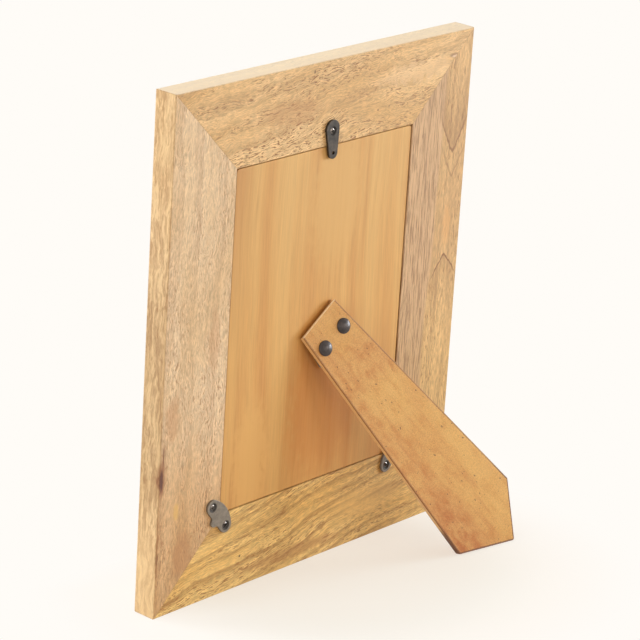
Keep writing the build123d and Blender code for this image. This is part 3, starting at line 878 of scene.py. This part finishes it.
# Countersunk screws with a cross recess. turns: how each recess stands, in degrees
screw = {
    "headRadius": 2.0 * mm, "shankRadius": 1.1 * mm, "length": 11.0 * mm, "edge": 0.12 * mm, "tip": 2.0 * mm,
    "crossReach": 1.1 * mm, "crossWidth": 0.5 * mm, "crossDepth": 0.9 * mm, "crossTaper": 0.5,
    "sides": 48, "dome": 0.5 * mm, "domeShare": 0.8, "tipShare": 0.1,
}
screwTurns = {"turn_button_screw": [8], "left_plate_screws": [35, 2], "right_plate_screws": [20, 60]}


def sinkCross(shape):
    # Cross of five faces, drawn down into a tapered recess
    reach = screw["crossReach"]
    cross = bmesh.ops.create_grid(shape, x_segments=3, y_segments=3, size=reach)["verts"]
    narrow = screw["crossWidth"] / (2 * reach / 3)
    for axis, vec in enumerate(((narrow, 1, 1), (1, narrow, 1))):
        bmesh.ops.scale(shape, vec=vec, verts=[point for point in cross if abs(point.co[axis]) < reach / 2])
    faces = {face for point in cross for face in point.link_faces}
    inset = narrow * reach / 3
    corners = [face for face in faces if min(abs(value) for value in face.calc_center_median()[:2]) > inset]
    arms = [face for face in faces if face not in corners]
    bmesh.ops.delete(shape, geom=corners, context="FACES")
    sunk = bmesh.ops.extrude_face_region(shape, geom=arms)["geom"]
    points = [item for item in sunk if isinstance(item, bmesh.types.BMVert)]
    bmesh.ops.scale(shape, vec=(screw["crossTaper"], screw["crossTaper"], 1), verts=points)
    bmesh.ops.translate(shape, vec=(0, 0, -screw["crossDepth"]), verts=points)
    bmesh.ops.delete(shape, geom=arms, context="FACES")


def makeScrewMesh():
    shape = bmesh.new()
    sinkCross(shape)
    flat = screw["headRadius"] - screw["edge"]
    circle = bmesh.ops.create_circle(shape, segments=screw["sides"], radius=flat)["verts"]
    rim = list({edge for point in circle for edge in point.link_edges})
    level = [edge for edge in shape.edges if abs(edge.verts[0].co.z + edge.verts[1].co.z) < weld]
    top = rim + [edge for edge in level if edge.is_boundary]
    bmesh.ops.triangle_fill(shape, use_beauty=True, edges=list(set(top)), normal=(0, 0, 1))
    inner = [point for point in shape.verts if point.co.length < screw["headRadius"] * screw["domeShare"]]
    bmesh.ops.translate(shape, vec=(0, 0, screw["dome"]), verts=inner)
    bmesh.ops.translate(shape, vec=(0, 0, -screw["dome"]), verts=shape.verts)
    headHeight = screw["headRadius"] - screw["shankRadius"]
    ring = pullRing(shape, rim, screw["headRadius"] / flat, -screw["dome"] - screw["edge"])
    ring = pullRing(shape, ring, screw["shankRadius"] / screw["headRadius"], -screw["dome"] - headHeight)
    ring = pullRing(shape, ring, 1, screw["tip"] - screw["length"])
    ring = pullRing(shape, ring, screw["tipShare"], -screw["length"])
    bmesh.ops.edgeloop_fill(shape, edges=ring)
    return asMesh(shape, "screwMaster")


def makeScrews():
    master = makeScrewMesh()
    for name, turns in screwTurns.items():
        shape = bmesh.new()
        for points, turn in zip(sorted(solidsOf(name), key=lambda solid: solid[0].z), turns):
            setDown(shape, master, topOf(points, backAxes), backAxes, turn)
        addPiece(name + "Crossed", shape, metal["screwSteel"], "frame", [name])
    bpy.data.meshes.remove(master)


# Rivets of the strut: a low dome on a thin brim, a shank and an end set over the hinge leaf
rivet = {
    "headRadius": 4.1 * mm, "headHeight": 1.8 * mm, "brim": 0.35 * mm, "shankRadius": 1.5 * mm,
    "shankLength": 3.8 * mm, "setRadius": 2.2 * mm, "setHeight": 0.7 * mm, "sides": 64,
    "edgeLeast": 30, "edgeShare": 0.6,
}


def makeRivetMesh():
    shape = bmesh.new()
    dome = rivet["headHeight"] - rivet["brim"]
    ball = (rivet["headRadius"] ** 2 + dome ** 2) / (2 * dome)
    bmesh.ops.create_uvsphere(shape, u_segments=rivet["sides"], v_segments=rivet["sides"], radius=ball)
    bmesh.ops.translate(shape, vec=(0, 0, -ball), verts=shape.verts)
    bmesh.ops.bisect_plane(shape, geom=shape.verts[:] + shape.edges[:] + shape.faces[:], dist=weld,
                           plane_co=(0, 0, -dome), plane_no=(0, 0, 1), clear_inner=True)
    ring = [edge for edge in shape.edges if edge.is_boundary]
    under = -rivet["headHeight"]
    leafEnd = under - rivet["shankLength"]
    ring = pullRing(shape, ring, 1, under)
    ring = pullRing(shape, ring, rivet["shankRadius"] / rivet["headRadius"], under)
    ring = pullRing(shape, ring, 1, leafEnd)
    ring = pullRing(shape, ring, rivet["setRadius"] / rivet["shankRadius"], leafEnd)
    ring = pullRing(shape, ring, 1, leafEnd - rivet["setHeight"])
    bmesh.ops.edgeloop_fill(shape, edges=ring)
    brim = [edge for edge in shape.edges if edge.calc_face_angle(0) > math.radians(rivet["edgeLeast"])
            and all(point.co.z > under + weld for point in edge.verts)]
    roundOff(shape, brim, rivet["edgeShare"] * rivet["brim"], 3)
    return asMesh(shape, "rivetMaster")


def makeRivets():
    master = makeRivetMesh()
    shape = bmesh.new()
    for points in solidsOf("strut_rivets"):
        top = topOf(points, strutAxes)
        setDown(shape, master, top, strutAxes)
    addPiece("strutRivetDomes", shape, metal["rivetBlack"], "strut", ["strut_rivets"])
    bpy.data.meshes.remove(master)


makeStamped()
makeGlass()
makeStrut()
makeScrews()
makeRivets()
print("pieces made")


# Stage: floor, light and camera
stage = {
    "floorSize": 8.0, "nearGlow": 0.6, "glow": 1.18,
    "paper": srgb(255, 238, 224), "seen": srgb(213, 245, 255),
    "bounce": srgb(206, 182, 152), "backdrop": srgb(255, 252, 247),
    "fill": 0.16, "fillColor": srgb(255, 214, 164),
    "shadeReach": (0.05, 0.16), "shadeFront": (-0.02, -0.1),
    "target": onBack(-6.12 * mm, 1.98 * mm, 7.23 * mm), "azimuth": 132.16, "elevation": 16.66,
    "distance": 1.53935, "lens": 171.92,
}


def cameraRays(tree):
    # Rays that should see the pale paper: straight, mirrored and through glass
    path = addNode(tree, "LightPath", {}).outputs
    seen = calc(tree, "MAXIMUM", path["Is Camera Ray"], path["Is Glossy Ray"])
    return calc(tree, "MAXIMUM", seen, path["Is Transmission Ray"])


def makeFloor():
    # Paper that glows for the camera, less so close behind the frame, where its shadow shows
    mesh = bpy.data.meshes.new("floor")
    shape = bmesh.new()
    bmesh.ops.create_grid(shape, x_segments=1, y_segments=1, size=stage["floorSize"] / 2)
    shape.to_mesh(mesh)
    shape.free()
    floor = bpy.data.objects.new("floor", mesh)
    bpy.context.scene.collection.objects.link(floor)
    material, tree, shader = newMaterial("floorPaper")
    seen = cameraRays(tree)
    place = addNode(tree, "TexCoord", {}).outputs["Object"]
    far = calc(tree, "MAXIMUM", fade(tree, vectorCalc(tree, "LENGTH", place), *stage["shadeReach"]),
               fade(tree, split(tree, place)[1], *stage["shadeFront"]))
    feed(tree, shader.inputs["Base Color"], tint(tree, seen, stage["bounce"], stage["seen"]))
    shader.inputs["Roughness"].default_value = 0.9
    shader.inputs["Specular IOR Level"].default_value = 0.1
    glow = addNode(tree, "Emission", {"Color": tint(tree, far, stage["paper"], stage["backdrop"]),
                                      "Strength": fade(tree, far, 0.0, 1.0, stage["glow"], 1.0)})
    share = calc(tree, "MULTIPLY", seen, fade(tree, far, 0.0, 1.0, stage["nearGlow"], 1.0))
    both = addNode(tree, "MixShader", {0: share, 1: shader.outputs[0], 2: glow.outputs[0]})
    tree.links.new(both.outputs[0], tree.nodes["Material Output"].inputs[0])
    mesh.materials.append(material)


def makeWorld():
    world = bpy.data.worlds.new("paleRoom")
    bpy.context.scene.world = world
    world.use_nodes = True
    tree = world.node_tree
    tree.nodes.clear()
    seen = addNode(tree, "Background", {"Color": stage["backdrop"], "Strength": 1.0})
    lit = addNode(tree, "Background", {"Color": stage["fillColor"], "Strength": stage["fill"]})
    both = addNode(tree, "MixShader", {0: cameraRays(tree), 1: lit.outputs[0], 2: seen.outputs[0]})
    output = tree.nodes.new("ShaderNodeOutputWorld")
    tree.links.new(both.outputs[0], output.inputs[0])


# Lamps: where each hangs, in metres from the middle of the object, its width and its power
lamps = {
    "rightSoftbox": {"place": (-1.8, 0.85, 0.08), "width": 0.7, "power": 35.5, "color": srgb(239, 247, 255)},
    "frontSoftbox": {"place": (-0.9, 1.75, 0.3), "width": 0.7, "power": 9.0, "color": srgb(255, 245, 235)},
    "highSoftbox": {"place": (0.2, 1.98, 0.2), "width": 0.9, "power": 6.2, "color": srgb(255, 245, 235)},
    "overheadSoftbox": {"place": (0.0, -0.3, 1.9), "width": 1.2, "power": 15.0},
    "leftFill": {"place": (1.6, -0.4, 0.8), "width": 1.0, "power": 13.2},
    "faceFill": {"place": (0.7, -1.9, 0.9), "width": 1.0, "power": 26.0},
    "leftLow": {"place": (1.7, 0.7, 0.25), "width": 0.6, "power": 5.0},
}


def makeLamps():
    for name, look in lamps.items():
        light = bpy.data.lights.new(name, "AREA")
        light.size = look["width"]
        light.energy = look["power"]
        light.color = look.get("color", (1, 1, 1))[:3]
        lamp = bpy.data.objects.new(name, light)
        lamp.location = stage["target"] + Vector(look["place"])
        lamp.rotation_euler = (-Vector(look["place"])).to_track_quat("-Z", "Y").to_euler()
        bpy.context.scene.collection.objects.link(lamp)


def makeCamera():
    camera = bpy.data.cameras.new("camera")
    camera.lens = stage["lens"]
    camera.sensor_width = 36.0
    holder = bpy.data.objects.new("camera", camera)
    around = math.radians(stage["azimuth"])
    above = math.radians(stage["elevation"])
    back = Vector((math.sin(around) * math.cos(above), -math.cos(around) * math.cos(above), math.sin(above)))
    holder.location = stage["target"] + back * stage["distance"]
    holder.rotation_euler = (-back).to_track_quat("-Z", "Y").to_euler()
    bpy.context.scene.collection.objects.link(holder)
    bpy.context.scene.camera = holder


makeFloor()
makeWorld()
makeLamps()
makeCamera()
bpy.context.scene.view_settings.view_transform = "Standard"
print("stage set")
